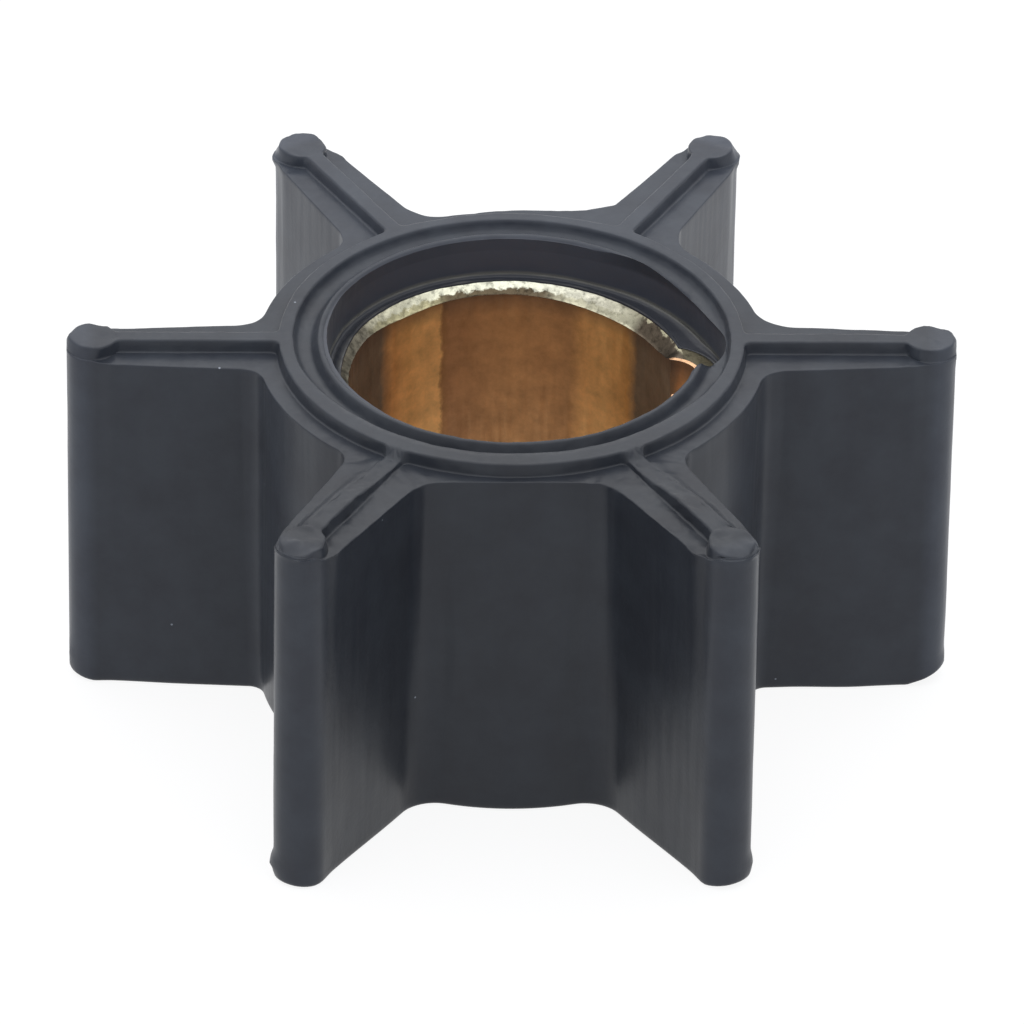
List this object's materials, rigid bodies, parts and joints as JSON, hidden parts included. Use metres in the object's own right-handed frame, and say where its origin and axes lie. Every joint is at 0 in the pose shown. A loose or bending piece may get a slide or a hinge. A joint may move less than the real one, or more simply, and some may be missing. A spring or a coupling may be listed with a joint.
{
  "type": "pump impeller",
  "caption": "Black rubber pump impeller with straight radial vanes, a raised sealing bead on one face and a bonded brass drive bush with a round keyway.",
  "frame": {"origin": "on the shaft axis, in the flat underside", "axes": "+Z along the shaft axis towards the face with the raised bead; +X through the keyway and along one vane"},
  "size_m": [0.057, 0.05, 0.0257],
  "materials": {
    "black_rubber": "moulded nitrile type rubber, satin, with thin flash along the parting edges",
    "brass": "machined brass with a burred rim and a bore tarnished to orange brown"
  },
  "bodies": {
    "root": {"rubber_impeller": "black_rubber", "brass_bush": "brass"}
  },
  "joints": []
}
